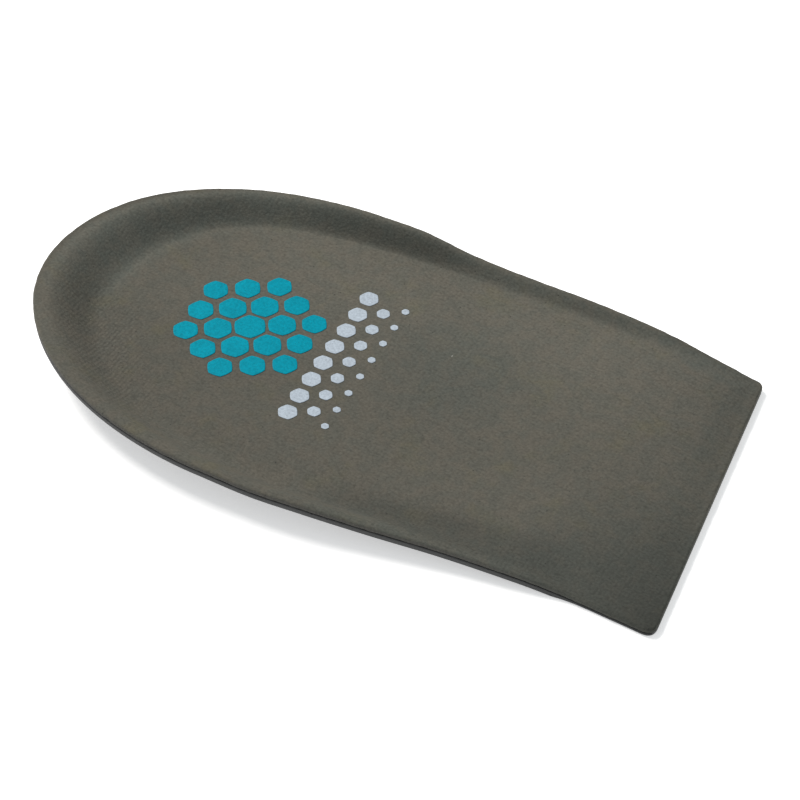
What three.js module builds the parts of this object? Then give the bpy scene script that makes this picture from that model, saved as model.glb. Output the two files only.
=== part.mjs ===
// Heel cup insole for a left shoe: a moulded foam base with a cupped heel, and a thin fabric
// top cover laid into it. X runs from the heel to the front cut, +Y is the outer (little toe)
// side, Z is up and the flat underside lies at zero. Millimetres.

import * as THREE from 'three';

// Sizes

const insoleLength = 134.9;
const heelWidth = 70.6;
const heelRoundLength = 48.3;
const frontSlantDegrees = 5.4;
const innerCornerRadius = 2.8;
const outerCornerRadius = 1.5;

const cupDepth = 5.5;
const crownWidth = 2.2;
const wallRun = 12;
const valleyDepth = 1.1;
const valleyRun = 9;

const heelFoam = 4.2;
const frontFoam = 0.6;
const cornerReach = 26;
const cornerThinning = 0.55;
const foamLip = 1.2;
const coverThickness = 1.0;
const skinGap = 0.3;
const edgeRound = 0.45;

// Outline of the two long sides, one row per place along the length.
// at: share of the insole length, counted from the heel tip.
// inner, outer: distance of the edge from the heel's own axis, as a share of half the heel width.

const outlineRows = [
  { at: 0.00, inner: 1.020, outer: 1.040 },
  { at: 0.06, inner: 0.994, outer: 1.030 },
  { at: 0.15, inner: 0.986, outer: 1.018 },
  { at: 0.28, inner: 0.990, outer: 1.005 },
  { at: 0.36, inner: 0.999, outer: 1.009 },
  { at: 0.44, inner: 1.009, outer: 1.024 },
  { at: 0.51, inner: 0.992, outer: 1.037 },
  { at: 0.60, inner: 0.946, outer: 1.043 },
  { at: 0.70, inner: 0.892, outer: 1.029 },
  { at: 0.80, inner: 0.854, outer: 1.007 },
  { at: 0.87, inner: 0.826, outer: 0.999 },
  { at: 0.94, inner: 0.846, outer: 0.969 },
  { at: 1.00, inner: 0.870, outer: 0.930 },
];

// Walls, one row per place along the length.
// riseInner, riseOuter: rim above the floor, as a share of the cup depth. Below zero the floor
// slopes down to the edge.
// runInner, runOuter: how far the wall reaches inwards, as a share of the wall run.

const wallRows = [
  { at: 0.00, riseInner: 1.00, riseOuter: 1.00, runInner: 0.84, runOuter: 0.84 },
  { at: 0.06, riseInner: 0.93, riseOuter: 1.00, runInner: 0.78, runOuter: 0.62 },
  { at: 0.15, riseInner: 0.76, riseOuter: 0.95, runInner: 0.68, runOuter: 0.42 },
  { at: 0.28, riseInner: 0.60, riseOuter: 0.94, runInner: 0.54, runOuter: 0.31 },
  { at: 0.36, riseInner: 0.52, riseOuter: 0.94, runInner: 0.48, runOuter: 0.28 },
  { at: 0.44, riseInner: 0.47, riseOuter: 0.83, runInner: 0.44, runOuter: 0.26 },
  { at: 0.51, riseInner: 0.46, riseOuter: 0.49, runInner: 0.42, runOuter: 0.25 },
  { at: 0.60, riseInner: 0.33, riseOuter: 0.33, runInner: 0.42, runOuter: 0.25 },
  { at: 0.70, riseInner: 0.14, riseOuter: 0.31, runInner: 0.45, runOuter: 0.24 },
  { at: 0.80, riseInner: -0.07, riseOuter: 0.20, runInner: 0.55, runOuter: 0.26 },
  { at: 0.87, riseInner: -0.26, riseOuter: -0.04, runInner: 0.80, runOuter: 0.42 },
  { at: 0.94, riseInner: -0.11, riseOuter: -0.06, runInner: 0.80, runOuter: 0.46 },
  { at: 1.00, riseInner: 0.00, riseOuter: 0.00, runInner: 0.40, runOuter: 0.34 },
];

// Crown, one row per place along the length.
// crownInner, crownOuter: width of the rim's level top, as a share of the crown width.

const crownRows = [
  { at: 0.00, crownInner: 1.00, crownOuter: 1.00 },
  { at: 0.06, crownInner: 0.80, crownOuter: 0.82 },
  { at: 0.15, crownInner: 0.55, crownOuter: 0.48 },
  { at: 0.28, crownInner: 0.42, crownOuter: 0.42 },
  { at: 0.36, crownInner: 0.40, crownOuter: 0.40 },
  { at: 0.44, crownInner: 0.40, crownOuter: 0.38 },
  { at: 0.51, crownInner: 0.40, crownOuter: 0.36 },
  { at: 0.80, crownInner: 0.40, crownOuter: 0.27 },
  { at: 0.94, crownInner: 0.50, crownOuter: 0.50 },
  { at: 1.00, crownInner: 0.60, crownOuter: 0.60 },
];

// Floor, one row per place along the length.
// foam: foam under the floor, as a share of the way from the front foam to the heel foam.
// dipInner, dipOuter: valley along the foot of each wall, as a share of the valley depth. Below
// zero it is a low swell.

const floorRows = [
  { at: 0.00, foam: 1.00, dipInner: 0.00, dipOuter: 0.00 },
  { at: 0.06, foam: 1.00, dipInner: 0.10, dipOuter: -0.20 },
  { at: 0.15, foam: 1.00, dipInner: 0.25, dipOuter: -0.22 },
  { at: 0.28, foam: 1.00, dipInner: 0.40, dipOuter: -0.20 },
  { at: 0.44, foam: 0.93, dipInner: 0.60, dipOuter: -0.10 },
  { at: 0.60, foam: 0.67, dipInner: 0.70, dipOuter: 0.05 },
  { at: 0.70, foam: 0.63, dipInner: 0.60, dipOuter: 0.10 },
  { at: 0.80, foam: 0.61, dipInner: 0.30, dipOuter: 0.10 },
  { at: 0.87, foam: 0.54, dipInner: 0.05, dipOuter: 0.00 },
  { at: 0.94, foam: 0.30, dipInner: 0.00, dipOuter: 0.00 },
  { at: 1.00, foam: 0.00, dipInner: 0.00, dipOuter: 0.00 },
];

// Rings of the wall: shares of the wall run, counted from the inner side of the crown.

const wallRings = [0.14, 0.28, 0.42, 0.56, 0.70, 0.85, 1.00];
const floorRings = [0.16, 0.38, 0.75];
const tuckRings = [0.18, 0.38, 0.60, 0.82, 1.00];

const heelSteps = 15;
const sideSteps = 13;
const cornerSteps = 3;
const frontSteps = 5;

// Small helpers

const mix = (a, b, t) => a + (b - a) * t;

function slopeAt(rows, name, k) {
  const before = rows[Math.max(k - 1, 0)];
  const after = rows[Math.min(k + 1, rows.length - 1)];
  return (after[name] - before[name]) / (after.at - before.at);
}

// Value of one column at a place between two rows, on a smooth curve through the rows.
function column(rows, name, at) {
  let k = 0;
  while (k < rows.length - 2 && rows[k + 1].at < at) k += 1;
  const [low, high] = [rows[k], rows[k + 1]];
  const step = high.at - low.at;
  const t = Math.min(Math.max((at - low.at) / step, 0), 1);
  const rise = high[name] - low[name];
  const slopeLow = slopeAt(rows, name, k) * step;
  const slopeHigh = slopeAt(rows, name, k + 1) * step;
  const bend = t * (1 - t);
  return low[name] + rise * t + bend * ((slopeLow - rise) * (1 - t) - (slopeHigh - rise) * t);
}

// Outline of the edge

const halfHeel = heelWidth / 2;
const spineInset = halfHeel * 1.08;
const frontSlant = Math.tan(THREE.MathUtils.degToRad(frontSlantDegrees));

function sideDistance(side, x) {
  const share = Math.min(x / heelRoundLength, 1);
  const heelCurve = Math.sqrt(1 - (1 - share) ** 2);
  return halfHeel * heelCurve * column(outlineRows, side, x / insoleLength);
}

const innerFrontY = -sideDistance('inner', insoleLength);
const frontCutX = (y) => insoleLength - (y - innerFrontY) * frontSlant;
const outerFrontX = frontCutX(sideDistance('outer', insoleLength));

function heelPoints(side, sign) {
  const points = [];
  for (let k = 1; k <= heelSteps; k += 1) {
    const turn = (k / heelSteps) * Math.PI / 2;
    const x = heelRoundLength * (1 - Math.cos(turn));
    points.push(new THREE.Vector2(x, sign * sideDistance(side, x)));
  }
  return points;
}

function sidePoints(side, sign, endX) {
  const points = [];
  for (let k = 1; k < sideSteps; k += 1) {
    const x = mix(heelRoundLength, endX, k / sideSteps);
    points.push(new THREE.Vector2(x, sign * sideDistance(side, x)));
  }
  return points;
}

// The rounded front corner: a curve from the side, past the sharp corner, into the front cut.
function cornerPoints(side, sign, cornerX, radius) {
  const corner = new THREE.Vector2(cornerX, sign * sideDistance(side, cornerX));
  const sideX = cornerX - radius;
  const start = new THREE.Vector2(sideX, sign * sideDistance(side, sideX));
  const frontY = corner.y - sign * radius;
  const end = new THREE.Vector2(frontCutX(frontY), frontY);
  const curve = new THREE.QuadraticBezierCurve(start, corner, end);
  return curve.getPoints(cornerSteps);
}

function halfOutline(side, sign, cornerX, radius) {
  const corner = cornerPoints(side, sign, cornerX, radius);
  const points = [...heelPoints(side, sign), ...sidePoints(side, sign, cornerX - radius), ...corner];
  const middleY = (sideDistance('outer', insoleLength) + innerFrontY) / 2;
  const last = corner[corner.length - 1];
  for (let k = 1; k < frontSteps; k += 1) {
    const y = mix(last.y, middleY, k / frontSteps);
    points.push(new THREE.Vector2(frontCutX(y), y));
  }
  return points;
}

// All round the edge: heel tip, inner side, front cut, outer side. Point k on the inner side
// and point count - k on the outer side face each other.
function outline() {
  const tip = new THREE.Vector2(0, 0);
  const inner = halfOutline('inner', -1, insoleLength, innerCornerRadius);
  const outer = halfOutline('outer', 1, outerFrontX, outerCornerRadius);
  const middleY = (sideDistance('outer', insoleLength) + innerFrontY) / 2;
  const middle = new THREE.Vector2(frontCutX(middleY), middleY);
  return [tip, ...inner, middle, ...outer.reverse()];
}

const edge = outline();

// Each edge point with its inward direction and the values of its side. Two points that face
// each other share one target on the spine.

function outerShare(point) {
  if (point.x < insoleLength - spineInset) return point.y > 0 ? 1 : 0;
  const low = -sideDistance('inner', point.x);
  const high = sideDistance('outer', point.x);
  return THREE.MathUtils.clamp((point.y - low) / (high - low), 0, 1);
}

function spinePoint(x) {
  const along = mix(spineInset, insoleLength - spineInset, x / insoleLength);
  const y = (sideDistance('outer', along) - sideDistance('inner', along)) / 2;
  return new THREE.Vector2(along, y);
}

function edgeStation(k) {
  const point = edge[k];
  const before = edge[(k + edge.length - 1) % edge.length];
  const after = edge[(k + 1) % edge.length];
  const along = after.clone().sub(before).normalize();
  const inward = new THREE.Vector2(-along.y, along.x);
  const facing = edge[(edge.length - k) % edge.length];
  const spine = spinePoint((point.x + facing.x) / 2);
  const heading = spine.clone().sub(point);
  const reach = heading.length();
  heading.divideScalar(reach);
  const share = outerShare(point);
  const at = point.x / insoleLength;
  const either = (rows, name) => mix(
    column(rows, name + 'Inner', at),
    column(rows, name + 'Outer', at),
    share,
  );
  const rise = cupDepth * either(wallRows, 'rise');
  const run = wallRun * either(wallRows, 'run');
  const dip = valleyDepth * either(floorRows, 'dip');
  const crown = crownWidth * either(crownRows, 'crown');
  return { point, heading, reach, rise, run, dip, crown, slant: inward.dot(heading) };
}

const stations = edge.map((point, k) => edgeStation(k));

function pointInside(station, depth) {
  const along = Math.min(depth / station.slant, station.reach);
  return station.point.clone().addScaledVector(station.heading, along);
}

// Heights

const skin = coverThickness + skinGap;

const smooth = (t) => {
  const held = THREE.MathUtils.clamp(t, 0, 1);
  return held * held * (3 - 2 * held);
};

const innerCorner = new THREE.Vector2(insoleLength, innerFrontY);

// Foam under the floor: the table's, thinned to the front cut, and more so round the corner
// on the arch side.
function floorFoam(place) {
  const share = column(floorRows, 'foam', place.x / frontCutX(place.y));
  const nearCorner = smooth(1 - place.distanceTo(innerCorner) / cornerReach);
  return mix(frontFoam, heelFoam, share * (1 - cornerThinning * nearCorner));
}

// Share of the rise that is left at a depth from the edge: all of it on the crown, none on
// the floor.
function wallShare(station, depth) {
  return 1 - smooth((depth - station.crown) / station.run);
}

// Share of the valley at a depth from the edge: deepest at the foot of the wall.
function valleyShare(station, depth) {
  const pastFoot = depth - station.crown - station.run;
  return pastFoot < 0 ? smooth(1 + pastFoot / station.run) : smooth(1 - pastFoot / valleyRun);
}

function topHeight(station, depth) {
  const rim = station.rise * wallShare(station, depth);
  const valley = station.dip * valleyShare(station, depth);
  const foam = floorFoam(pointInside(station, depth)) + rim - valley;
  return Math.max(foam, frontFoam) + skin;
}

// Height of a layer that lies a given thickness under the top, measured square to the wall.
function layerHeight(station, depth, below) {
  const step = 0.2;
  const low = Math.max(depth - step, 0);
  const steep = (topHeight(station, depth + step) - topHeight(station, low)) / (depth + step - low);
  return topHeight(station, depth) - below * Math.hypot(1, steep);
}

function lipHeight(station) {
  return Math.max(layerHeight(station, 0, skin) - foamLip, 0);
}

// Closed shells from rings of points

function ring(heightOf, depthOf) {
  return stations.map((station) => {
    const depth = depthOf(station);
    const place = pointInside(station, depth);
    return new THREE.Vector3(place.x, place.y, heightOf(station, depth));
  });
}

// Depth of a ring on the floor: a share of the way from the foot of the wall to the spine.
function floorDepth(station, share) {
  return mix(station.crown + station.run, station.reach * station.slant, share);
}

// Rings of a layer from the middle of the floor out to the crown.
function layerRings(heightOf) {
  const rings = floorRings.map((share) => ring(heightOf, (s) => floorDepth(s, share))).reverse();
  const wall = wallRings.map((share) => ring(heightOf, (s) => s.crown + s.run * share));
  rings.push(...wall.reverse());
  rings.push(ring(heightOf, (s) => s.crown));
  rings.push(ring(heightOf, (s) => mix(edgeRound, s.crown, 0.5)));
  return rings;
}

// The two ends of the shell are closed by strips between facing points.
function stripFaces(start, count, flipped) {
  const faces = [];
  const put = (a, b, c) => faces.push(start + a, start + (flipped ? c : b), start + (flipped ? b : c));
  const half = count / 2;
  put(0, 1, count - 1);
  for (let k = 1; k < half - 1; k += 1) {
    put(k, k + 1, count - k);
    put(k + 1, count - k - 1, count - k);
  }
  put(half - 1, half, half + 1);
  return faces;
}

function shell(rings) {
  const count = rings[0].length;
  const corners = rings.flat().flatMap((p) => [p.x, p.y, p.z]);
  const faces = stripFaces(0, count, false);
  for (let r = 0; r < rings.length - 1; r += 1) {
    for (let k = 0; k < count; k += 1) {
      const next = (k + 1) % count;
      const [a, b] = [r * count + k, r * count + next];
      const [c, d] = [a + count, b + count];
      faces.push(a, c, b, b, c, d);
    }
  }
  faces.push(...stripFaces((rings.length - 1) * count, count, true));
  const geometry = new THREE.BufferGeometry();
  geometry.setAttribute('position', new THREE.Float32BufferAttribute(corners, 3));
  geometry.setIndex(faces);
  geometry.computeVertexNormals();
  return geometry;
}

// Fabric top cover: an even skin with a softly rounded upper edge

function coverShell() {
  const top = (s, depth) => topHeight(s, depth);
  const under = (s, depth) => layerHeight(s, depth, coverThickness);
  const rounded = (s) => topHeight(s, 0) - edgeRound;
  const rings = layerRings(top);
  rings.push(ring(top, () => edgeRound));
  rings.push(ring(rounded, () => 0));
  rings.push(ring(under, () => 0));
  rings.push(...layerRings(under).reverse());
  return shell(rings);
}

// Foam base: cup walls and floor above, a short lip, then a tucked underside on a flat sole

function foamShell() {
  const top = (s, depth) => layerHeight(s, depth, skin);
  const lip = (s) => lipHeight(s);
  const tucked = (share) => (s) => lipHeight(s) * (1 - share) ** 1.15;
  const rings = layerRings(top);
  rings.push(ring(top, () => 0));
  rings.push(ring(lip, () => 0));
  for (const share of tuckRings) {
    rings.push(ring(tucked(share), (s) => floorDepth(s, 0) * share));
  }
  for (const share of floorRings) {
    rings.push(ring(() => 0, (s) => floorDepth(s, share)));
  }
  return shell(rings);
}

// Assembly, moved so that the middle of the underside is the origin

const halfway = (values) => (Math.max(...values) + Math.min(...values)) / 2;
const middle = new THREE.Vector3(halfway(edge.map((p) => p.x)), halfway(edge.map((p) => p.y)), 0);

function piece(name, geometry, color, roughness) {
  const material = new THREE.MeshStandardMaterial({ color, roughness, metalness: 0 });
  const mesh = new THREE.Mesh(geometry, material);
  mesh.name = name;
  mesh.position.copy(middle).negate();
  return mesh;
}

const insole = new THREE.Group();
insole.add(piece('foam_base', foamShell(), 0x484848, 0.85));
insole.add(piece('top_cover', coverShell(), 0x615e56, 0.95));

export default insole;
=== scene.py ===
# %% [markdown]
# # Heel cup insole
#
# The object is a half-length shoe insole for a left foot: a moulded foam base with a cupped heel,
# a thin brushed fabric cover glued into it, and a print on the heel. The solids come packed as a
# fixed frame. This script lays a finer foam and a finer cover over them, in the same metres and
# the same place, and gives them their looks.

# %% Load the frame
import math

import bpy
import numpy as np
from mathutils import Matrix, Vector


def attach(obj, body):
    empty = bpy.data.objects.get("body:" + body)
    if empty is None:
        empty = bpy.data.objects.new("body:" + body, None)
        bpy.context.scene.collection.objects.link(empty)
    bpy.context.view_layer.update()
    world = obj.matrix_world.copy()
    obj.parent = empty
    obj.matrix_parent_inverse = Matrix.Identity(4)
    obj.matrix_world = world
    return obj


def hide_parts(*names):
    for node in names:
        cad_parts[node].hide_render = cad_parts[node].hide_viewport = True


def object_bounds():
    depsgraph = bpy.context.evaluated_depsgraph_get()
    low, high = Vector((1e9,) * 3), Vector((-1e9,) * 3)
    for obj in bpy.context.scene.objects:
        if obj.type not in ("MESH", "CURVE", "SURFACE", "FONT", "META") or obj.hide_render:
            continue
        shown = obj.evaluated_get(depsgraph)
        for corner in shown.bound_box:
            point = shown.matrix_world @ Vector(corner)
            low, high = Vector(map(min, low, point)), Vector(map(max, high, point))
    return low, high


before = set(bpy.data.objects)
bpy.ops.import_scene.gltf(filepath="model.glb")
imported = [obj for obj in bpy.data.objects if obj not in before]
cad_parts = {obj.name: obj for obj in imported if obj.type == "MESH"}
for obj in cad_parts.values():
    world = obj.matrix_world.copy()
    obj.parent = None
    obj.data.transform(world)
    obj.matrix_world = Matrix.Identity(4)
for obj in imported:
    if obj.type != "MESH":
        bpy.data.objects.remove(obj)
solid_low, solid_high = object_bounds()
scene = bpy.context.scene
mm = 0.001
solid_size = [round((high - low) / mm, 1) for low, high in zip(solid_low, solid_high)]
print("solids:", sorted(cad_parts), "box in mm:", solid_size)

# %% [markdown]
# ## Sizes
#
# A last maker describes an insole by a few lengths and a table of stations along the foot. The
# same is done here: named lengths first, then tables whose columns are shares of those lengths.
# They are the sizes of the solids, so the fine surfaces fall on the plain ones.

# %% Named sizes
INSOLE_LENGTH = 134.9 * mm
HEEL_WIDTH = 70.6 * mm
HEEL_ROUND_LENGTH = 48.3 * mm
FRONT_SLANT = math.tan(math.radians(5.4))
INNER_CORNER_RADIUS = 2.8 * mm
OUTER_CORNER_RADIUS = 1.5 * mm
CUP_DEPTH = 5.5 * mm
CROWN_WIDTH = 2.2 * mm
WALL_RUN = 12 * mm
VALLEY_DEPTH = 1.1 * mm
VALLEY_RUN = 9 * mm
HEEL_FOAM = 4.2 * mm
FRONT_FOAM = 0.6 * mm
CORNER_REACH = 26 * mm
CORNER_THINNING = 0.55
FOAM_LIP = 1.2 * mm
COVER_THICKNESS = 1.0 * mm
SKIN_GAP = 0.3 * mm
print("insole length in mm:", INSOLE_LENGTH / mm, "heel width in mm:", HEEL_WIDTH / mm)


# %% Tables of stations along the foot
def columns(names, rows):
    """One array for each named column of a table."""
    return dict(zip(names.split(), np.array(rows, dtype=float).T))


OUTLINE = columns("at inner outer", [
    (0.00, 1.020, 1.040), (0.06, 0.994, 1.030), (0.15, 0.986, 1.018),
    (0.28, 0.990, 1.005), (0.36, 0.999, 1.009), (0.44, 1.009, 1.024),
    (0.51, 0.992, 1.037), (0.60, 0.946, 1.043), (0.70, 0.892, 1.029),
    (0.80, 0.854, 1.007), (0.87, 0.826, 0.999), (0.94, 0.846, 0.969),
    (1.00, 0.870, 0.930),
])
WALL = columns("at rise_inner rise_outer run_inner run_outer", [
    (0.00, 1.00, 1.00, 0.84, 0.84), (0.06, 0.93, 1.00, 0.78, 0.62),
    (0.15, 0.76, 0.95, 0.68, 0.42), (0.28, 0.60, 0.94, 0.54, 0.31),
    (0.36, 0.52, 0.94, 0.48, 0.28), (0.44, 0.47, 0.83, 0.44, 0.26),
    (0.51, 0.46, 0.49, 0.42, 0.25), (0.60, 0.33, 0.33, 0.42, 0.25),
    (0.70, 0.14, 0.31, 0.45, 0.24), (0.80, -0.07, 0.20, 0.55, 0.26),
    (0.87, -0.26, -0.04, 0.80, 0.42), (0.94, -0.11, -0.06, 0.80, 0.46),
    (1.00, 0.00, 0.00, 0.40, 0.34),
])
CROWN = columns("at crown_inner crown_outer", [
    (0.00, 1.00, 1.00), (0.06, 0.80, 0.82), (0.15, 0.55, 0.48), (0.28, 0.42, 0.42),
    (0.36, 0.40, 0.40), (0.44, 0.40, 0.38), (0.51, 0.40, 0.36), (0.80, 0.40, 0.27),
    (0.94, 0.50, 0.50), (1.00, 0.60, 0.60),
])
FLOOR = columns("at foam dip_inner dip_outer", [
    (0.00, 1.00, 0.00, 0.00), (0.06, 1.00, 0.10, -0.20), (0.15, 1.00, 0.25, -0.22),
    (0.28, 1.00, 0.40, -0.20), (0.44, 0.93, 0.60, -0.10), (0.60, 0.67, 0.70, 0.05),
    (0.70, 0.63, 0.60, 0.10), (0.80, 0.61, 0.30, 0.10), (0.87, 0.54, 0.05, 0.00),
    (0.94, 0.30, 0.00, 0.00), (1.00, 0.00, 0.00, 0.00),
])
for title, table in (("outline", OUTLINE), ("wall", WALL), ("crown", CROWN), ("floor", FLOOR)):
    print(title, "stations:", len(table["at"]))


# %% Curves through the stations
def mix(a, b, t):
    return a + (b - a) * t


def smooth(t):
    """0 before 0, 1 after 1, and an S curve between."""
    t = np.clip(t, 0, 1)
    return t * t * (3 - 2 * t)


def fade(value, start, end):
    """0 where value is at start, 1 where it is at end, and an S curve between, either way round."""
    return smooth((value - start) / (end - start))


def follow(table, name, at):
    """The column's value at a share of the length: a cubic through two neighbouring rows, whose
    slope at each row is that of the line from the row before to the row after."""
    x, y = table["at"], table[name]
    rows = np.arange(len(x))
    before, after = np.maximum(rows - 1, 0), np.minimum(rows + 1, len(x) - 1)
    slope = (y[after] - y[before]) / (x[after] - x[before])
    k = np.clip(np.searchsorted(x, at, side="right") - 1, 0, len(x) - 2)
    step = x[k + 1] - x[k]
    t = np.clip((at - x[k]) / step, 0, 1)
    rise = y[k + 1] - y[k]
    bend = (slope[k] * step - rise) * (1 - t) - (slope[k + 1] * step - rise) * t
    return y[k] + rise * t + t * (1 - t) * bend


# %% [markdown]
# ## The edge, seen from above
#
# The heel end is half an ellipse, the sides follow the table, and the front is cut straight and
# a little aslant. The edge could be drawn as a curve object and filled, but a list of points that
# each know the way to the middle of the foot is more use: every surface below is then a set of
# rings that walk inwards from this edge.

# %% Outline of the edge
half_heel = HEEL_WIDTH / 2
SPINE_INSET_SHARE = 1.08
spine_inset = half_heel * SPINE_INSET_SHARE


def side_distance(side, x):
    """How far a side's edge lies from the heel's axis: half the heel width, times an ellipse's
    rise over the round of the heel, times the table's share."""
    heel_curve = np.sqrt(1 - (1 - np.minimum(x / HEEL_ROUND_LENGTH, 1)) ** 2)
    return half_heel * heel_curve * follow(OUTLINE, side, x / INSOLE_LENGTH)


inner_front_y = -side_distance("inner", np.array(INSOLE_LENGTH))


def front_cut_x(y):
    return INSOLE_LENGTH - (y - inner_front_y) * FRONT_SLANT


outer_front_x = front_cut_x(side_distance("outer", np.array(INSOLE_LENGTH)))
front_middle_y = (side_distance("outer", np.array(INSOLE_LENGTH)) + inner_front_y) / 2


def half_outline(side, sign, corner_x, radius, counts=(84, 130, 10, 46)):
    """Points from the heel tip to the middle of the front cut, along one side. Heel: equal turns
    of an ellipse. Side: equal steps. Corner: a quadratic curve whose handle is the sharp corner.
    Front: equal steps along the straight cut."""
    heel, along, corner, front = counts
    turn = np.linspace(0, math.pi / 2, heel + 1)[1:]
    heel_x = HEEL_ROUND_LENGTH * (1 - np.cos(turn))
    side_x = np.linspace(HEEL_ROUND_LENGTH, corner_x - radius, along + 1)[1:]
    x = np.concatenate([heel_x, side_x])
    sides = np.stack([x, sign * side_distance(side, x)], axis=1)
    tip = np.array([corner_x, sign * side_distance(side, np.array(corner_x))])
    end_y = tip[1] - sign * radius
    end = np.array([front_cut_x(end_y), end_y])
    t = np.linspace(0, 1, corner + 1)[1:, None]
    rounded = (1 - t) ** 2 * sides[-1] + 2 * t * (1 - t) * tip + t**2 * end
    front_y = np.linspace(end_y, front_middle_y, front + 1)[1:-1]
    cut = np.stack([front_cut_x(front_y), front_y], axis=1)
    return np.concatenate([sides, rounded, cut])


inner_half = half_outline("inner", -1, INSOLE_LENGTH, INNER_CORNER_RADIUS)
outer_half = half_outline("outer", 1, outer_front_x, OUTER_CORNER_RADIUS)
middle_of_cut = np.array([[front_cut_x(front_middle_y), front_middle_y]])
edge = np.concatenate([np.zeros((1, 2)), inner_half, middle_of_cut, outer_half[::-1]])
count = len(edge)
edge_steps = np.linalg.norm(np.roll(edge, -1, axis=0) - edge, axis=1)
edge_run = np.concatenate([[0], np.cumsum(edge_steps)])
print("edge points:", count, "edge length in mm:", round(edge_run[-1] / mm, 1))


# %% Each edge point's way inwards
def way_inwards(edge):
    """For each edge point: the unit vector to its target on the spine, the distance to it, and
    the cosine between that way and the edge's own normal. The spine is a line along the middle
    of the foot, and two points that face each other across it share one target."""
    along = np.roll(edge, -1, axis=0) - np.roll(edge, 1, axis=0)
    along /= np.linalg.norm(along, axis=1, keepdims=True)
    inward = np.stack([-along[:, 1], along[:, 0]], axis=1)
    facing = (count - np.arange(count)) % count
    shared_x = (edge[:, 0] + edge[facing, 0]) / 2
    spine_x = mix(spine_inset, INSOLE_LENGTH - spine_inset, shared_x / INSOLE_LENGTH)
    spine_y = (side_distance("outer", spine_x) - side_distance("inner", spine_x)) / 2
    heading = np.stack([spine_x, spine_y], axis=1) - edge
    reach = np.linalg.norm(heading, axis=1)
    heading /= reach[:, None]
    return heading, reach, (inward * heading).sum(axis=1)


heading, reach, slant = way_inwards(edge)
at = edge[:, 0] / INSOLE_LENGTH
to_inner, to_outer = side_distance("inner", edge[:, 0]), side_distance("outer", edge[:, 0])
width_share = (edge[:, 1] + to_inner) / np.maximum(to_inner + to_outer, mm)
front_part = edge[:, 0] >= INSOLE_LENGTH - spine_inset
# The innermost ring bows forwards between the two front corners, so that the strip that closes
# it has some width there too.
on_front_cut = np.abs(edge[:, 0] - front_cut_x(edge[:, 1])) < 0.2 * mm
front_bow = on_front_cut * 4 * width_share * (1 - width_share)
outer_share = np.where(front_part, np.clip(width_share, 0, 1), edge[:, 1] > 0)


def either(table, name):
    """A column that has an inner and an outer half, for each edge point."""
    return mix(follow(table, name + "_inner", at), follow(table, name + "_outer", at), outer_share)


rise = CUP_DEPTH * either(WALL, "rise")
run = WALL_RUN * either(WALL, "run")
dip = VALLEY_DEPTH * either(FLOOR, "dip")
crown = CROWN_WIDTH * either(CROWN, "crown")
print("rim above the floor in mm:", round(rise.max() / mm, 2), "at most")

# %% [markdown]
# ## Heights
#
# The fabric's upper face is the one surface that matters: floor, plus the rim's rise, minus a
# shallow valley along the foot of each wall. All other layers lie a named thickness under it,
# measured square to the slope, so the skin is even on the steep heel wall too. A few long, low
# waves keep the cover from looking machined, as a glued fabric never lies perfectly flat.

# %% Heights of the layers
LEVEL_RIM = 6 * mm
SLOPE_STEP = 0.2 * mm
skin = COVER_THICKNESS + SKIN_GAP
inner_corner = np.array([INSOLE_LENGTH, inner_front_y])


def place_at(depth):
    """Points at a depth inside the edge. depth has one row for each ring."""
    along = np.minimum(depth / slant, reach)
    return edge + heading * along[..., None]


def floor_foam(place):
    """Foam under the floor: the table's share, thinned further in a round patch at the arch
    side's front corner."""
    share = follow(FLOOR, "foam", place[..., 0] / front_cut_x(place[..., 1]))
    near_corner = smooth(1 - np.linalg.norm(place - inner_corner, axis=-1) / CORNER_REACH)
    return mix(FRONT_FOAM, HEEL_FOAM, share * (1 - CORNER_THINNING * near_corner))


def wall_share(depth):
    return 1 - smooth((depth - crown) / run)


def valley_share(depth):
    past_foot = depth - crown - run
    return np.where(past_foot < 0, smooth(1 + past_foot / run), smooth(1 - past_foot / VALLEY_RUN))


def unevenness(place):
    """Four long waves across the cover, a tenth of a millimetre high in all, each a sine along
    its own direction."""
    waves = columns("x y length start height", [
        (0.9, 0.4, 31, 0.2, 0.050),
        (-0.5, 0.9, 23, 1.7, 0.045),
        (0.2, 1.0, 14, 3.1, 0.020),
        (1.0, -0.3, 17, 4.4, 0.020),
    ])
    along = place[..., :1] * waves["x"] + place[..., 1:] * waves["y"]
    turn = along / (waves["length"] * mm) * 2 * math.pi
    return (waves["height"] * mm * np.sin(turn + waves["start"])).sum(axis=-1)


def top_height(depth):
    """Upper face of the cover at a depth inside the edge."""
    place = place_at(depth)
    foam = floor_foam(place) + rise * wall_share(depth) - dip * valley_share(depth)
    return np.maximum(foam, FRONT_FOAM) + skin + unevenness(place) * fade(depth, 0, LEVEL_RIM)


def layer_height(depth, below):
    """A layer that lies below the upper face, measured square to the slope."""
    low, high = np.maximum(depth - SLOPE_STEP, 0), depth + SLOPE_STEP
    steep = (top_height(high) - top_height(low)) / (high - low)
    return top_height(depth) - below * np.hypot(1, steep)


ones = np.ones((1, count))
lip_height = np.maximum(layer_height(0 * ones, skin) - FOAM_LIP, 0)
foot_depth = (crown + run) * ones
middle_depth = reach * slant * ones
print("rim height in mm:", round(top_height(0 * ones).max() / mm, 2))

# %% [markdown]
# ## Rings into a closed shell
#
# Both layers are shells made of rings: out over the top, round the edge and back underneath.
# A grid of vertices (rings by edge points) is joined by squares, and each end is closed by a
# strip between facing points. The mesh is filled from whole arrays, which is quick and keeps the
# order of the rings known, so that a surface can carry its own measured coordinates.

# %% Shell helper
# The solids' origin: the middle of their box in plan, on the plane of the sole. It is measured
# from the heel tip, where the outline above starts.
origin = np.array([67.318, 0.626, 0]) * mm


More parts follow.
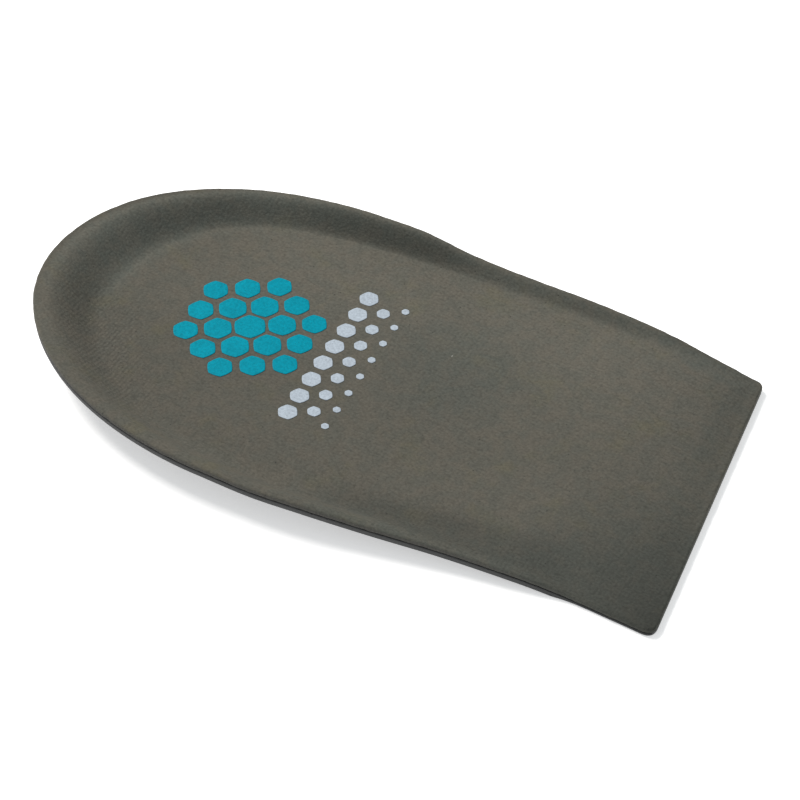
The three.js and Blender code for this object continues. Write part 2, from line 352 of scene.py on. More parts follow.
def ring_points(depth, height, outward=0.0):
    """Rings of points at these depths and heights, pushed outwards by a small amount."""
    place = place_at(depth) - heading * (outward / slant)[..., None]
    return np.concatenate([place, height[..., None]], axis=-1)


def shell_faces(rings):
    """Squares between neighbouring rings, then a strip of squares over the first and the last
    ring, between point k of one side and point count - k of the other."""
    k = np.arange(count)
    after = (k + 1) % count
    start = (np.arange(rings - 1) * count)[:, None]
    walls = [start + k, start + k + count, start + after + count, start + after]
    walls = np.stack(walls, axis=-1).reshape(-1, 4)
    s = np.arange(1, count // 2 - 1)
    strip = np.stack([s, s + 1, count - s - 1, count - s], axis=-1)
    tips = np.array([[0, 1, count - 1], [count // 2 - 1, count // 2, count // 2 + 1]])
    last = (rings - 1) * count
    return walls, strip, tips, last


def make_shell(name, points):
    """A closed mesh object from an array of rings by edge points by three."""
    rings = len(points)
    walls, strip, tips, last = shell_faces(rings)
    faces = [*walls.tolist(), *strip.tolist(), *tips.tolist()]
    faces += (strip[:, ::-1] + last).tolist() + (tips[:, ::-1] + last).tolist()
    mesh = bpy.data.meshes.new(name)
    mesh.from_pydata((points.reshape(-1, 3) - origin).tolist(), [], faces)
    mesh.polygons.foreach_set("use_smooth", np.ones(len(mesh.polygons), dtype=bool))
    mesh.update()
    made = bpy.data.objects.new(name, mesh)
    scene.collection.objects.link(made)
    print(name, "vertices:", len(mesh.vertices), "faces:", len(mesh.polygons))
    return made


def put_uv(made, name, values):
    """A UV map from one pair of numbers for each vertex."""
    mesh = made.data
    corner = np.empty(len(mesh.loops), dtype=np.int32)
    mesh.loops.foreach_get("vertex_index", corner)
    layer = mesh.uv_layers.new(name=name)
    layer.data.foreach_set("uv", values.reshape(-1, 2)[corner].astype(np.float32).ravel())


def put_number(made, name, values):
    """A number for each vertex, which a material can read by its name."""
    attribute = made.data.attributes.new(name, "FLOAT", "POINT")
    attribute.data.foreach_set("value", values.astype(np.float32).ravel())


# %% [markdown]
# ## Foam base
#
# The real base is poured into a mould: its walls are thick, its edge is a short lip with soft
# corners, and under the lip the side tucks in to a flat sole. A block cut by booleans would have
# hard lines, so the lip's corners are rings on small quarter circles instead. At the front the
# foam was cut with a blade, and there its colour is painted paler: painted light that lifts the
# front face out of its shade. The vertices carry that as a number for the finish.

# %% Make the foam base
floor_shares = np.linspace(1, 0, 16)[1:-1]
wall_shares = np.linspace(1, 0, 22)


def over_the_top(below, first_depth):
    """Rings of a layer from the middle of the floor to the crown, and on out to first_depth."""
    depths = [mix(foot_depth, middle_depth, share) for share in floor_shares]
    depths[0] = depths[0] * (1 - 0.04 * front_bow)
    depths += [(crown + run * share) * ones for share in wall_shares]
    depths += [mix(first_depth, crown, share) * ones for share in (0.75, 0.5, 0.3, 0.12)]
    depth = np.concatenate(depths)
    return ring_points(depth, layer_height(depth, below))


def quarter(radius, steps, turn_from, turn_to):
    """Depths and heights of a quarter circle of that radius, measured from its outermost and
    uppermost lines."""
    turn = np.radians(np.linspace(turn_from, turn_to, steps))
    return radius * (1 - np.cos(turn)), radius * (1 - np.sin(turn))


LIP_ROUND = 0.27 * mm
LIP_RECESS = 0.12 * mm
TUCK_CURVE = 1.15
FRONT_LIGHT_REACH = 0.5 * mm
foam_top = layer_height(0 * ones, skin)
start = LIP_RECESS + LIP_ROUND
foam_rings = [over_the_top(skin, start)]
for depth, drop in zip(*quarter(LIP_ROUND, 6, 90, 0)):
    foam_rings.append(ring_points((LIP_RECESS + depth) * ones, foam_top - drop))
for depth, drop in zip(*quarter(LIP_ROUND, 6, 0, 90)):
    foam_rings.append(ring_points((LIP_RECESS + depth) * ones, lip_height + drop))
for share in np.linspace(0, 1, 16)[1:]:
    foam_rings.append(ring_points(mix(start, foot_depth, share), lip_height * (1 - share) ** TUCK_CURVE))
for share, bow in ((0.16, 0.0), (0.38, 0.0), (0.75, 0.15)):
    depth = mix(foot_depth, middle_depth, share) * (1 - bow * front_bow)
    foam_rings.append(ring_points(depth, 0 * ones))
foam_points = np.concatenate(foam_rings)
foam = make_shell("moulded_foam_base", foam_points)
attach(foam, "root")
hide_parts("foam_base")
foam_inset = np.linalg.norm(foam_points[..., :2] - edge, axis=-1)
# Painted light: a mask that makes the foam paler on the front cut face, which lies in shade.
from_front = front_cut_x(foam_points[..., 1]) - foam_points[..., 0]
front_painted_light = smooth(1.6 - from_front / FRONT_LIGHT_REACH) * smooth(1.6 - foam_inset / FRONT_LIGHT_REACH)
put_number(foam, "front_painted_light", front_painted_light)

# %% [markdown]
# ## Fabric cover
#
# The cover is one skin of brushed knit, a millimetre thick, pressed into the cup and cut flush
# with the foam. Solidify could thicken a single surface, but the cut edge wants its own shape: a
# soft upper shoulder, a nearly upright cut with a little waver from the blade, and a lower
# corner. So both faces and the cut are rings of one shell. The shell also carries the cloth's
# own flat coordinates, measured along the slope, so that the knit isn't stretched on the wall.

# %% Waver of the cut edge
BLADE_WAVER = 0.10 * mm
rng = np.random.default_rng(7)


def edge_waver(wave_lengths, height):
    """A wavering line round the edge: a sum of sines that each close on themselves."""
    turn = edge_run[:-1] / edge_run[-1] * 2 * math.pi
    total = np.zeros(count)
    for length in wave_lengths:
        waves = round(edge_run[-1] / length)
        total += np.sin(turn * waves + rng.uniform(0, 2 * math.pi)) * rng.uniform(0.5, 1)
    return height * total / len(wave_lengths)


waver = edge_waver(np.array([2.1, 2.9, 3.7, 5.3, 7.9, 11.0]) * mm, BLADE_WAVER)[None] * ones
print("waver in mm:", round(float(waver.min()) / mm, 3), "to", round(float(waver.max()) / mm, 3))

# %% Make the fabric cover
EDGE_ROUND = 0.45 * mm
LOWER_CORNER = 0.12 * mm
cover_top = top_height(0 * ones)
cover_under = layer_height(0 * ones, COVER_THICKNESS)
cover_rings = [over_the_top(0.0, EDGE_ROUND)]
for depth, drop in zip(*quarter(EDGE_ROUND, 7, 90, 0)):
    cover_rings.append(ring_points(depth * ones, cover_top - drop, waver))
for share in (0.35, 0.7, 1.0):
    height = mix(cover_top - EDGE_ROUND, cover_under + LOWER_CORNER, share)
    cover_rings.append(ring_points(0 * ones, height, waver))
cover_rings.append(ring_points(LOWER_CORNER * ones, cover_under, waver))
top_ring_count = sum(len(r) for r in cover_rings)
cover_rings.append(over_the_top(COVER_THICKNESS, EDGE_ROUND)[::-1])
cover_points = np.concatenate(cover_rings)
cover = make_shell("brushed_fabric_cover", cover_points)
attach(cover, "root")
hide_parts("top_cover")

# %% Cloth coordinates of the cover
def cloth_coordinates(points):
    """Where each vertex lies on the flat cloth: the innermost ring keeps its place, and each ring
    further out lies further along its own heading by the distance measured on the surface."""
    steps = np.linalg.norm(np.diff(points, axis=0), axis=-1)
    travelled = np.concatenate([np.zeros((1, count)), np.cumsum(steps, axis=0)])
    return points[0, :, :2] - heading * travelled[..., None]


upper = cover_points[:top_ring_count]
lower = cover_points[top_ring_count:]
flat_upper = cloth_coordinates(upper)
flat_lower = cloth_coordinates(lower[::-1])[::-1]
put_uv(cover, "cloth", np.concatenate([flat_upper, flat_lower]) / mm)
cut_rings = np.zeros((len(cover_points), count))
cut_rings[top_ring_count - 11 : top_ring_count - 4] = np.linspace(0, 1, 7)[:, None] ** 3
cut_rings[top_ring_count - 4 : top_ring_count + 1] = 1
# Towards the front the darker cut colour fades out: painted light that lifts the shaded front face.
cut_rings *= mix(0.15, 1.0, fade(at, 0.93, 0.68))
put_number(cover, "cut_edge", cut_rings)
run_along = np.broadcast_to(edge_run[:-1] / mm, cut_rings.shape)
put_number(cover, "edge_run", run_along)
print("cover rings:", len(cover_points), "of which on the upper side:", top_ring_count)

# %% [markdown]
# ## Painted light and shade on the nap
#
# The nap's colour carries painted shade, darker and cooler: at the front corner on the arch side,
# along the front edge and that side's edge, in a patch in the middle, round the near side of the
# heel and along the far rim, and cooler on the far wall. It carries painted light over the far
# middle, on parts of the far wall and on the front cut face. Round the near side of the heel the
# knit shows through more coarsely. Each place is fixed on the object, not in the cloth's pattern,
# so it is a number from 0 to 1 for every vertex; a table says what painted light or shade it adds.

# %% Distances on the cover
plan = cover_points[..., :2]
along = plan[..., 0] / INSOLE_LENGTH
across = plan[..., 1]
before_cut = front_cut_x(across) - plan[..., 0]
from_corner = np.linalg.norm(plan - inner_corner, axis=-1)
from_side = across + side_distance("inner", np.clip(plan[..., 0], 0, INSOLE_LENGTH))
from_edge = np.linalg.norm(plan - edge, axis=-1)
print("farthest from the edge in mm:", round(float(from_edge.max()) / mm, 1))

# %% Places of painted light and shade
# How far the painted shade reaches from the front edge and from the arch side's front corner, and the
# middle of a patch of painted shade.
SHADED_FRONT_REACH = 14 * mm
SHADED_CORNER_REACH = 34 * mm
SHADED_PATCH_MIDDLE = np.array([11, 9]) * mm
from_shaded_patch = np.linalg.norm(plan - origin[:2] - SHADED_PATCH_MIDDLE, axis=-1)
side_start = 3 * mm * fade(along, 0.70, 0.55)
far = fade(edge[:, 1], -18 * mm, 12 * mm) * fade(along, 0.97, 0.87)
# wall, rim, side, near_heel, raised and far_band mark where painted light and shade go; coarse marks the
# coarser knit.
wall = far * fade(from_edge, 0, 2 * mm) * fade(from_edge, 1.2 * foot_depth, 1.2 * foot_depth - 3 * mm)
rim = far * fade(from_edge, 2.4 * mm, 0.4 * mm) * (1 + 0.6 * fade(along, 0.16, 0.06))
side = fade(along, 0.47, 0.63) * fade(along, 0.90, 0.70)
side *= fade(from_side, 11.5 * mm, 7.5 * mm) * fade(from_side, side_start, side_start + 3 * mm)
near_heel = fade(along, 0.52, 0.27) * fade(across, 6 * mm, -6 * mm) * fade(from_edge, 6 * mm, 10 * mm)
raised = fade(across, 0, 26 * mm) * fade(along, 0.12, 0.32) * fade(along, 0.98, 0.78)
far_band = far * fade(from_edge, 3.6 * mm, 2 * mm) * fade(along, 0.5, 0.7) * fade(along, 0.89, 0.82)
coarse = fade(along, 0.31, 0.15) * fade(across, 5 * mm, -10 * mm) * fade(from_edge, 2 * mm, 6 * mm)
coarse *= fade(from_edge, foot_depth + 11 * mm, foot_depth + 2 * mm)
print("vertices with coarse knit:", int((coarse > 0.5).sum()), "of", coarse.size)

# %% Painted light and shade on the nap, its cool tint, and coarseness of the knit
# The columns: the place, how much painted light it adds (painted shade below zero), and how much cooler the
# painted shade makes it.
PAINTED_LIGHT_AND_SHADE_PLACES = [
    # Rows: painted shade at the front edge and at the arch side's front corner, a cool shade tint along the
    # arch side's edge, painted shade in the middle patch, on the near side and at the near heel, painted
    # light over the far middle, painted shade on the far rim, on the heel's far rim (warmer) and on the far
    # band, a cool shade tint on the far wall, and painted light on two stretches of the far wall and on the
    # front cut face.
    (np.clip(1 - before_cut / SHADED_FRONT_REACH, 0, 1) ** 1.5, -0.14, 0.3),
    (np.clip(1 - from_corner / SHADED_CORNER_REACH, 0, 1), -0.43, 1.5),
    (fade(from_side, 12 * mm, 4 * mm) * fade(along, 0.42, 0.62), 0.0, 0.6),
    (fade(from_shaded_patch, 17 * mm, 6 * mm), -0.045, 0.6),
    (side, -0.24, 0.0),
    (near_heel, -0.10, 0.0),
    (raised, 0.15, 0.0),
    (rim, -0.10, 0.0),
    (far * fade(from_edge, 5 * mm, mm) * fade(along, 0.22, 0.12), -0.09, -0.3),
    (far_band, -0.09, 0.0),
    (wall, 0.0, 0.8),
    (wall * fade(along, 0.36, 0.26), 0.20, 0.0),
    (wall * fade(at, 0.04, 0.11) * fade(at, 0.28, 0.20), 0.13, 0.0),
    (on_front_cut * fade(from_edge, 0.3 * mm, 0), 0.30, 0.0),
]
painted_light_and_shade = np.ones(from_edge.shape)
painted_shade_coolness = np.zeros(from_edge.shape)
for place, lighter, cooler in PAINTED_LIGHT_AND_SHADE_PLACES:
    painted_light_and_shade *= 1 + lighter * place
    painted_shade_coolness += cooler * place
put_number(cover, "painted_light_and_shade", painted_light_and_shade)
put_number(cover, "painted_shade_coolness", np.clip(painted_shade_coolness, 0, 1))
put_number(cover, "nap_coarse", coarse)
print("nap from", round(float(painted_light_and_shade.min()), 2), "to", round(float(painted_light_and_shade.max()), 2))


# %% [markdown]
# ## Heel print
#
# The heel carries a screen print in teal and pale grey, as films that stand a hair above the
# nap: a honeycomb of rounded cells, with smaller grey cells that thin out towards the toes. A
# print could be a mask in the fabric's material, but as thin closed films it has real edges that
# catch the light. The films are worked out flat. A Shrinkwrap modifier on a scrap mesh then
# tells how high the cloth lies under each point.

# %% Lay flat points on the cloth
DROP_HEIGHT = 30 * mm


def cloth_heights(flat_points):
    """Height of the cover's upper face under each point: a scrap mesh of the points falls
    straight down onto the cover."""
    scrap_mesh = bpy.data.meshes.new("scrap")
    high = np.full((len(flat_points), 1), DROP_HEIGHT)
    scrap_mesh.from_pydata(np.concatenate([flat_points, high], axis=1).tolist(), [], [])
    scrap = bpy.data.objects.new("scrap", scrap_mesh)
    scene.collection.objects.link(scrap)
    drop = scrap.modifiers.new("drop", "SHRINKWRAP")
    drop.wrap_method = "PROJECT"
    drop.use_project_z = True
    drop.use_negative_direction = True
    drop.use_positive_direction = False
    drop.target = cover
    evaluated = scrap.evaluated_get(bpy.context.evaluated_depsgraph_get())
    fallen = np.empty(len(flat_points) * 3, dtype=np.float32)
    evaluated.data.vertices.foreach_get("co", fallen)
    bpy.data.objects.remove(scrap)
    bpy.data.meshes.remove(scrap_mesh)
    return fallen.reshape(-1, 3)[:, 2].astype(float)


# %% One print cell
FILM = 0.12 * mm
CELL_POINTS = 48
# From the middle of the film's top, over its edge and back to the middle of its underside.
CELL_RADII = np.array([0.02, 0.35, 0.7, 0.9, 0.965, 0.992, 1.0, 0.985, 0.7, 0.02])
CELL_HEIGHTS = np.array([1.0, 1.0, 1.0, 1.0, 0.93, 0.7, 0.35, 0.1, 0.1, 0.1]) * FILM


def cell_outline(turn, rounding=0.42):
    """Radius of a hexagon's edge at each turn, mixed with a circle so its corners are round."""
    sixth = math.pi / 3
    hexagon = math.cos(sixth / 2) / np.cos(np.mod(turn, sixth) - sixth / 2)
    return mix(hexagon, 0.93, rounding)


def print_cells(centres, sizes):
    """Points of all cells, as cells by rings by turns by (x, y, height above the cloth)."""
    turn = np.arange(CELL_POINTS) / CELL_POINTS * 2 * math.pi
    shape = cell_outline(turn) * np.stack([np.cos(turn), np.sin(turn)])
    flat = centres[:, None, None, :] + sizes[:, None, None, None] * (CELL_RADII[:, None, None] * shape.T)
    heights = np.broadcast_to(CELL_HEIGHTS[:, None, None], flat.shape[:3] + (1,))
    return np.concatenate([flat, heights], axis=-1)


def cell_faces(cells):
    """Squares between the rings of each cell, and a many-sided face over each end."""
    rings, turns = len(CELL_RADII), CELL_POINTS
    k = np.arange(turns)
    ring_start = (np.arange(rings - 1) * turns)[:, None]
    after = (k + 1) % turns
    walls = [ring_start + k, ring_start + k + turns, ring_start + after + turns, ring_start + after]
    walls = np.stack(walls, axis=-1).reshape(-1, 4)
    starts = np.arange(cells) * rings * turns
    faces = (walls + starts[:, None, None]).reshape(-1, 4).tolist()
    faces += (k + starts[:, None]).tolist()
    faces += (k[::-1] + starts[:, None] + (rings - 1) * turns).tolist()
    return faces


def make_print(name, centres, sizes):
    """One film object of many cells, laid on the cloth."""
    cells = print_cells(np.array(centres), np.array(sizes))
    points = cells.reshape(-1, 3)
    points[:, 2] += cloth_heights(points[:, :2])
    mesh = bpy.data.meshes.new(name)
    mesh.from_pydata(points.tolist(), [], cell_faces(len(cells)))
    mesh.polygons.foreach_set("use_smooth", np.ones(len(mesh.polygons), dtype=bool))
    mesh.update()
    made = bpy.data.objects.new(name, mesh)
    scene.collection.objects.link(made)
    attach(made, "root")
    print(name, "cells:", len(cells), "faces:", len(mesh.polygons))
    return made


# %% The two prints
PRINT_CENTRE = np.array([-27.6, 2.1]) * mm
CELL_PITCH = 5.9 * mm
GREY_START = 16.2 * mm
GREY_PITCH = 4.7 * mm
# Honeycomb places, as steps along two directions sixty degrees apart, up to two steps out.
steps = np.array([(a, b) for a in range(-2, 3) for b in range(-2, 3) if abs(a + b) <= 2])
step_a, step_b = np.array([0.0, 1.0]), np.array([math.sqrt(0.75), 0.5])
rosette = (steps[:, :1] * step_a + steps[:, 1:] * step_b) * CELL_PITCH
rosette_sizes = 3.2 * mm - 0.055 * np.linalg.norm(rosette, axis=1)
heel_print_cells = make_print("heel_print_cells", PRINT_CENTRE + rosette, rosette_sizes)
GREY_ROWS = columns("cells ahead size", [(8, 0.0, 1.95), (7, 4.1, 1.35), (8, 7.5, 0.8)])
grey, grey_sizes = [], []
for cells, ahead, size in zip(*GREY_ROWS.values()):
    sideways = (np.arange(cells) - (cells - 1) / 2) * GREY_PITCH
    grey.append(np.stack([np.full(len(sideways), GREY_START + ahead * mm), sideways], axis=1))
    grey_sizes.append(np.full(len(sideways), size * mm))
grey_places = PRINT_CENTRE + np.concatenate(grey)
heel_print_grains = make_print("heel_print_grains", grey_places, np.concatenate(grey_sizes))

# %% [markdown]
# ## A short way to write finishes
#
# A finish is a graph of nodes, and drawn by hand its sums are hard to read. Here a small class
# wraps an output, so a sum in Python adds the Math nodes itself. Every other node comes from
# one method that sets the node's own settings first and its sockets after them.

# %% Finish helpers
class Value:
    """An output socket holding numbers. A sum with it adds a Math node to its finish."""

    def __init__(self, finish, socket):
        self.finish, self.socket = finish, socket

    def maths(self, operation, first, second):
        return self.finish.node("ShaderNodeMath", {"operation": operation}, {0: first, 1: second})

    def __add__(self, other):
        return self.maths("ADD", self, other)

    def __sub__(self, other):
        return self.maths("SUBTRACT", self, other)

    def __mul__(self, other):
        return self.maths("MULTIPLY", self, other)

    __radd__, __rmul__ = __add__, __mul__

    def between(self, low, high):
        """0 up to low, 1 from high, and an S curve between. It falls when low is above high."""
        settings = {"interpolation_type": "SMOOTHSTEP"}
        sockets = {"Value": self, "From Min": low, "From Max": high}
        return self.finish.node("ShaderNodeMapRange", settings, sockets)


class Finish:
    """A material, with methods that add nodes to it."""

    def __init__(self, name):
        self.material = bpy.data.materials.new(name)
        self.material.use_nodes = True
        self.tree = self.material.node_tree
        self.tree.nodes.clear()

    def node(self, kind, settings=None, sockets=None, output=0):
        """Add a node: its settings first, then values or links for its sockets."""
        made = self.tree.nodes.new(kind)
        for name, setting in (settings or {}).items():
            setattr(made, name, setting)
        for key, value in (sockets or {}).items():
            if isinstance(value, Value):
                self.tree.links.new(value.socket, made.inputs[key])
            else:
                made.inputs[key].default_value = value
        return Value(self, made.outputs[output] if made.outputs else None)

    def blend(self, factor, first, second):
        """A colour between two colours."""
        settings = {"data_type": "RGBA", "clamp_factor": True}
        return self.node("ShaderNodeMix", settings, {0: factor, 6: first, 7: second}, output=2)

    def tint(self, colour, amount):
        """A colour times a number, brighter above 1 and darker below it."""
        return self.node("ShaderNodeVectorMath", {"operation": "SCALE"}, {0: colour, 3: amount})

    def stretch(self, place, x, y, z=1.0, turn=0.0):
        """A place turned about Z and then scaled, so that a pattern can have a direction."""
        sockets = {"Vector": place, "Rotation": (0, 0, turn), "Scale": (x, y, z)}
        return self.node("ShaderNodeMapping", {"vector_type": "POINT"}, sockets)

    def noise(self, place, scale, detail=2.0, roughness=0.5, distortion=0.0):
        sockets = {"Vector": place, "Scale": scale, "Detail": detail}
        sockets |= {"Roughness": roughness, "Distortion": distortion}
        return self.node("ShaderNodeTexNoise", {}, sockets)

    def dots(self, place, scale, jitter=1.0):
        """Distance to the nearest of scattered points, in steps of 1 / scale."""
        sockets = {"Vector": place, "Scale": scale, "Randomness": jitter}
        return self.node("ShaderNodeTexVoronoi", {"feature": "F1"}, sockets)

    def bump(self, height, distance, strength=1.0):
        sockets = {"Height": height, "Distance": distance, "Strength": strength}
        return self.node("ShaderNodeBump", {}, sockets)

    def carried(self, name):
        """A number that the mesh's vertices carry."""
        return self.node("ShaderNodeAttribute", {"attribute_name": name}, {}, output=2)

    def object_place(self):
        """The place in the frame, in metres."""
        return self.node("ShaderNodeTexCoord", {}, {}, output=3)

    def surface(self, sockets):
        shader = self.node("ShaderNodeBsdfPrincipled", {}, sockets)
        self.node("ShaderNodeOutputMaterial", {}, {"Surface": shader})
        return self.material


def rgb(red, green, blue):
    """A colour from its 0 to 255 screen numbers, as linear light."""
    screen = np.array([red, green, blue]) / 255
    linear = np.where(screen <= 0.04045, screen / 12.92, ((screen + 0.055) / 1.055) ** 2.4)
    return (*linear.tolist(), 1.0)


# %% [markdown]
# ## Brushed fabric
#
# The cover is a fine knit brushed into a short nap, like thin suede. Seen close it has four
# scales: a grain of about half a millimetre, faint ribs and pits of the knit where the nap is
# thin, blotches of warm and cool grey some millimetres wide where the nap lies another way, and a
# few dark pinpricks and pale specks of lint. A woven image would be wrong here, because the nap
# hides the knit. Noise in the cloth's own coordinates, in millimetres, gives each scale its
# true size.

# %% Patterns of the cloth
fabric = Finish("brushed fabric, taupe")
cloth = fabric.node("ShaderNodeUVMap", {"uv_map": "cloth"})
grain = fabric.noise(cloth, 2.0, 3.0, 0.66)
nap = fabric.noise(fabric.stretch(cloth, 1.0, 3.2, turn=0.5), 0.75, 3.0, 0.6)
loops = fabric.dots(fabric.stretch(cloth, 1.0, 1.25, turn=0.35), 1.55, 0.75)
blotch = fabric.noise(cloth, 0.3, 2.0, 0.6, 0.3)
dry = fabric.noise(cloth, 0.11, 3.0, 0.6)
drift = fabric.noise(fabric.stretch(cloth, 1.0, 1.4, turn=1.1), 0.055, 2.0, 0.5)
rib_sockets = {"Vector": fabric.stretch(cloth, 1.0, 1.0, turn=0.09), "Scale": 0.40}
rib_sockets |= {"Distortion": 2.2, "Detail": 2.0, "Detail Scale": 1.5}
ribs = fabric.node("ShaderNodeTexWave", {"wave_type": "BANDS"}, rib_sockets, output=1)
clumps = fabric.dots(fabric.stretch(cloth, 1.0, 1.6, turn=0.9), 0.8).between(0.16, 0.05)
pits = loops.between(0.42, 0.12) * grain.between(0.50, 0.42)
pinprick = fabric.dots(cloth, 0.42).between(0.085, 0.02)
lint = fabric.dots(fabric.stretch(cloth, 1.0, 0.4, turn=0.8), 0.17).between(0.024, 0.012)
thread_sockets = {"W": fabric.carried("edge_run"), "Scale": 2.6}
threads = fabric.node("ShaderNodeTexNoise", {"noise_dimensions": "1D"}, thread_sockets)
print("pattern nodes:", len(fabric.tree.nodes))

# %% Brushed fabric
FABRIC_WARM = rgb(89.5, 86.3, 78)
FABRIC_COOL_BLOTCH_AND_SHADE = rgb(82, 84, 78)
FABRIC_DRY = rgb(91, 88, 73)
FABRIC_CUT = rgb(74, 73, 69)
FABRIC_DARK = rgb(42, 42, 40)
FABRIC_LINT = rgb(160, 160, 154)
cool = fabric.carried("painted_shade_coolness")
coarse_knit = fabric.carried("nap_coarse")
colour = fabric.blend(dry.between(0.52, 0.72) * 0.6, FABRIC_WARM, FABRIC_DRY)
# The cool colour comes in with the painted shade's cool tint, and in random blotches.
colour = fabric.blend(cool * 0.75 + blotch.between(0.36, 0.64) * 0.45, colour, FABRIC_COOL_BLOTCH_AND_SHADE)
nap_light = (grain - 0.5) * 0.82 + (nap - 0.5) * 0.46 + (drift - 0.5) * 0.12 - (blotch - 0.5) * 0.12
loop_shade = loops.between(0.5, 0.75) * (0.12 + coarse_knit * 0.05)
# The ribs show a little more where the painted shade is tinted cool.
rib_height = 0.035 + cool * 0.03 + coarse_knit * nap.between(0.38, 0.62) * 0.26
light_and_dark = 1.0 + nap_light - loop_shade + (ribs - 0.5) * rib_height
# Painted light and shade from the places above scale the colour here.
colour = fabric.tint(colour, light_and_dark * fabric.carried("painted_light_and_shade"))
dark_specks = pinprick * 0.6 + clumps * (0.14 + coarse_knit * 0.3) + pits * coarse_knit * 0.55
colour = fabric.blend(dark_specks, colour, FABRIC_DARK)
colour = fabric.blend(lint * 0.6, colour, FABRIC_LINT)
cut_colour = fabric.tint(FABRIC_CUT[:3], 0.7 + threads * 0.6)
colour = fabric.blend(fabric.carried("cut_edge"), colour, cut_colour)
relief = grain * 0.6 + nap * 0.4 + loops.between(0.7, 0.2) * 0.3 - pinprick * 0.8
fabric_material = fabric.surface({
    "Base Color": colour,
    "Roughness": 0.86 + (grain - 0.5) * 0.2,
    "Normal": fabric.bump(relief, 0.09 * mm, 0.7),
    "Specular IOR Level": 0.15,
    "Sheen Weight": 0.10,
    "Sheen Roughness": 0.5,
    "Sheen Tint": rgb(190, 184, 170),
})
cover.data.materials.append(fabric_material)
print("fabric nodes:", len(fabric.tree.nodes))

# %% [markdown]
# ## Moulded foam
#
# The base is a dense cushioning foam with a closed skin from the mould, dark grey and matt. Up
# close the skin shows shallow cells under a millimetre wide and an occasional pinhole, and the
# front cut face is painted paler, as painted light on a face in shade. The pattern reads Object
# coordinates, which are metres here, so scales are given per metre.

# %% Moulded foam
FOAM_SKIN = rgb(66, 66, 66)
# Painted light: the paler grey for the shaded front cut face.
FOAM_FRONT_PAINTED_LIGHT = rgb(112, 112, 112)
FOAM_PINHOLE = rgb(30, 30, 30)
foam_finish = Finish("moulded foam, grey")
where = foam_finish.object_place()
cells = foam_finish.dots(where, 1 / (0.7 * mm))
skin_noise = foam_finish.noise(where, 1 / (2.5 * mm), 3.0, 0.6)
patches = foam_finish.noise(where, 1 / (11 * mm), 2.0)
pinholes = foam_finish.dots(where, 1 / (2.6 * mm)).between(0.11, 0.05)
foam_tone = 0.93 + cells * 0.10 + (skin_noise - 0.5) * 0.22 + (patches - 0.5) * 0.12
# Painted light: paler foam colour on the front cut face.
foam_colour = foam_finish.blend(foam_finish.carried("front_painted_light"), FOAM_SKIN, FOAM_FRONT_PAINTED_LIGHT)
foam_colour = foam_finish.blend(pinholes * 0.7, foam_colour, FOAM_PINHOLE)
foam_colour = foam_finish.tint(foam_colour, foam_tone)
foam_relief = cells * 0.5 + skin_noise * 0.5 - pinholes * 0.8
foam_material = foam_finish.surface({
    "Base Color": foam_colour,
    "Roughness": 0.72 + (skin_noise - 0.5) * 0.3,
    "Normal": foam_finish.bump(foam_relief, 0.08 * mm, 0.7),
    "Specular IOR Level": 0.35,
})
foam.data.materials.append(foam_material)
print("foam nodes:", len(foam_finish.tree.nodes))

# %% [markdown]
# ## Print films
#
# The ink is a soft rubbery film. It follows the nap beneath it, so its surface has the fabric's
# grain at a lower height, and a few pores where it didn't close. Both inks are one recipe with
# another colour.

# %% Print inks
def print_ink(name, colour, pore_colour):
    ink = Finish(name)
    where = ink.object_place()
    nap_under = ink.noise(where, 1 / (0.45 * mm), 3.0, 0.6)
    cloudy = ink.noise(where, 1 / (5 * mm), 2.0)
    pores = ink.noise(where, 1 / (0.36 * mm), 2.0, 0.7).between(0.62, 0.76)
    tone = 1.02 + (nap_under - 0.5) * 0.8 + (cloudy - 0.5) * 0.2
    return ink.surface({
        "Base Color": ink.blend(pores * 0.6, ink.tint(colour[:3], tone), pore_colour),
        "Roughness": 0.5 + (nap_under - 0.5) * 0.3,
        "Normal": ink.bump(nap_under - pores * 0.4, 0.07 * mm, 0.7),
        "Specular IOR Level": 0.05,
    })


teal_ink = print_ink("print ink, teal", rgb(0, 133, 153), rgb(16, 82, 90))
grey_ink = print_ink("print ink, pale grey", rgb(167, 177, 187), rgb(106, 108, 110))
heel_print_cells.data.materials.append(teal_ink)
heel_print_grains.data.materials.append(grey_ink)
print("ink nodes:", [len(ink.node_tree.nodes) for ink in (teal_ink, grey_ink)])

# %% [markdown]
# ## Floor, light and camera
#
# The object lies on a plain pale light table, whose weak glow keeps the shadow under the rim
# soft. A softbox stands high on the heel's side, so the heel's wall falls into shade and the
# thin front, which slopes away, darkens too. An even sky fills the rest. The camera looks down
# at 45 degrees through a long lens.

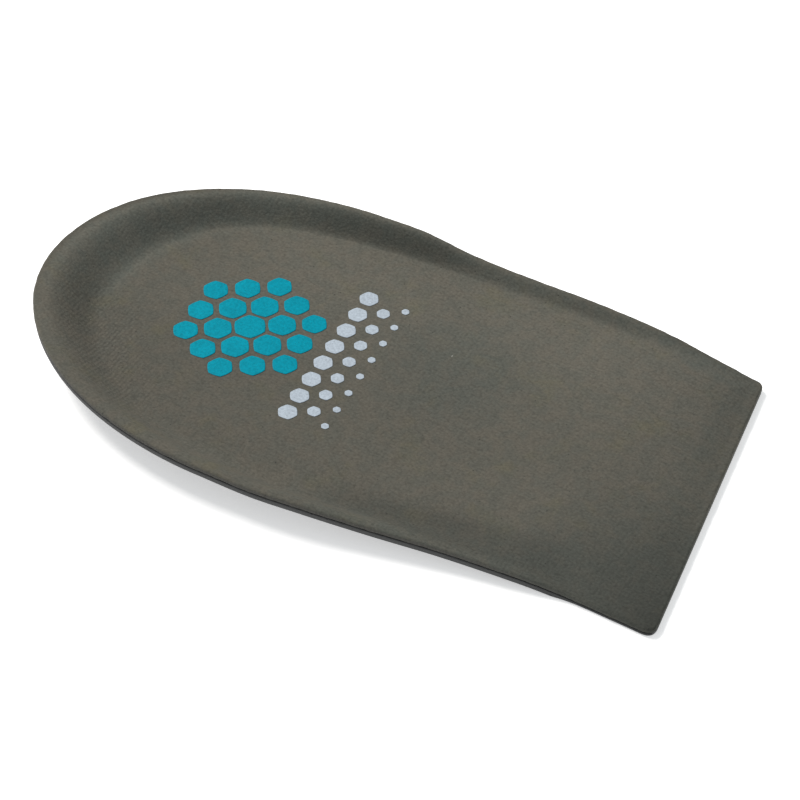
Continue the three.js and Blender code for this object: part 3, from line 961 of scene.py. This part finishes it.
# %% Floor
FLOOR_REACH = 3.0
FLOOR_DROP = 0.02 * mm
TABLE_GLOW = 0.46
corners = [(x * FLOOR_REACH, y * FLOOR_REACH, -FLOOR_DROP) for x, y in ((-1, -1), (1, -1), (1, 1), (-1, 1))]
floor_mesh = bpy.data.meshes.new("studio_floor")
floor_mesh.from_pydata(corners, [], [(0, 1, 2, 3)])
studio_floor = bpy.data.objects.new("studio_floor", floor_mesh)
scene.collection.objects.link(studio_floor)
paper = Finish("studio paper")
paper_tone = 0.99 + paper.noise(paper.object_place(), 6.0, 2.0) * 0.02
floor_mesh.materials.append(paper.surface({
    "Base Color": paper.tint(rgb(243, 243, 243)[:3], paper_tone),
    "Roughness": 0.9,
    "Specular IOR Level": 0.1,
    "Emission Color": rgb(255, 255, 255),
    "Emission Strength": TABLE_GLOW,
}))
print("floor lies", FLOOR_DROP / mm, "mm under the sole")


# %% Lights
def softbox(name, place, aim, size, power, colour):
    """A square area light at a place, turned to face a point."""
    lamp = bpy.data.lights.new(name, "AREA")
    lamp.shape, lamp.size, lamp.energy, lamp.color = "SQUARE", size, power, colour
    light = bpy.data.objects.new(name, lamp)
    light.location = place
    light.rotation_euler = (Vector(aim) - Vector(place)).to_track_quat("-Z", "Y").to_euler()
    scene.collection.objects.link(light)
    return light


SOFTBOX_WATTS = 14.9
SKY_STRENGTH = 0.45
softbox("heel_softbox", (-0.70, 0.17, 0.96), (0, 0, 0), 0.5, SOFTBOX_WATTS, (1.0, 0.975, 0.94))
sky = bpy.data.worlds.new("studio sky")
sky.use_nodes = True
background = sky.node_tree.nodes["Background"]
background.inputs["Color"].default_value = (0.93, 0.97, 1.0, 1.0)
background.inputs["Strength"].default_value = SKY_STRENGTH
scene.world = sky
print("softbox watts:", SOFTBOX_WATTS, "sky strength:", SKY_STRENGTH)
scene.view_settings.view_transform = "Standard"
scene.view_settings.look = "None"

# %% Camera
CAMERA_TURN = math.radians(26)
CAMERA_TILT = math.radians(45)
CAMERA_DISTANCE = 0.70
CAMERA_LENS = 173.25
CAMERA_TARGET = Vector((3.0 * mm, 2.07 * mm, 0))
back = Vector((math.sin(CAMERA_TURN), -math.cos(CAMERA_TURN), 0)) * math.cos(CAMERA_TILT)
back.z = math.sin(CAMERA_TILT)
lens = bpy.data.cameras.new("camera")
lens.sensor_width, lens.lens, lens.clip_start = 36, CAMERA_LENS, 0.01
camera = bpy.data.objects.new("camera", lens)
camera.location = CAMERA_TARGET + back * CAMERA_DISTANCE
camera.rotation_euler = (-back).to_track_quat("-Z", "Y").to_euler()
scene.collection.objects.link(camera)
scene.camera = camera
print("camera at", [round(v, 4) for v in camera.location])
